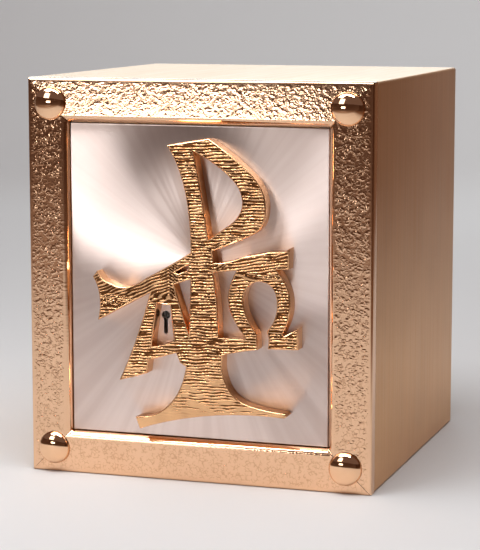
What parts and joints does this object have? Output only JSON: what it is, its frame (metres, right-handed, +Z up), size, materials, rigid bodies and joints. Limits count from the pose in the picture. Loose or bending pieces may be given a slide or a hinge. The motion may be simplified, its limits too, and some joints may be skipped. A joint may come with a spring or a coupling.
{
  "type": "tabernacle",
  "caption": "Gilt metal altar tabernacle with a hammered moulding, domed studs and a hinged silver door that carries a cast Chi-Rho monogram with Alpha and Omega.",
  "frame": {"origin": "centre of the cabinet's underside, on the surface that it stands on", "axes": "+Z up, the front with the door faces -Y, +X to the right as seen from the front"},
  "size_m": [0.28, 0.293, 0.314],
  "materials": {
    "satin_gold": "gilt, brushed satin along one direction",
    "hammered_gold": "gilt, fine crumpled hammer relief, polished high points and bevels",
    "polished_gold": "gilt, mirror polished",
    "cast_gold": "gilt casting, bark-like grooved face, smooth polished sides",
    "brushed_silver": "silver-plated, fine brushing that radiates from one point",
    "lock_steel": "plain zinc-plated steel"
  },
  "bodies": {
    "cabinet": {"case_shell": "satin_gold", "back_plate": "satin_gold", "front_surround": "satin_gold", "moulding_top": "hammered_gold", "moulding_bottom": "hammered_gold", "moulding_left": "hammered_gold", "moulding_right": "hammered_gold", "corner_stud_top_left": "polished_gold", "corner_stud_top_right": "polished_gold", "corner_stud_bottom_left": "polished_gold", "corner_stud_bottom_right": "polished_gold"},
    "door": {"door_plate": "brushed_silver", "monogram": "cast_gold", "hinge_pin_top": "lock_steel", "hinge_pin_bottom": "lock_steel", "lock_case": "lock_steel"},
    "bolt": {"lock_bolt": "lock_steel"}
  },
  "joints": [
    {"name": "door_hinge", "type": "hinge", "parent": "cabinet", "child": "door", "pos_m": [0.1001, -0.1355, 0.157], "axis": [0, 0, 1], "range_deg": [0, 110]},
    {"name": "bolt_slide", "type": "slide", "parent": "door", "child": "bolt", "axis": [-1, 0, 0], "range_m": [0, 0.012]}
  ]
}
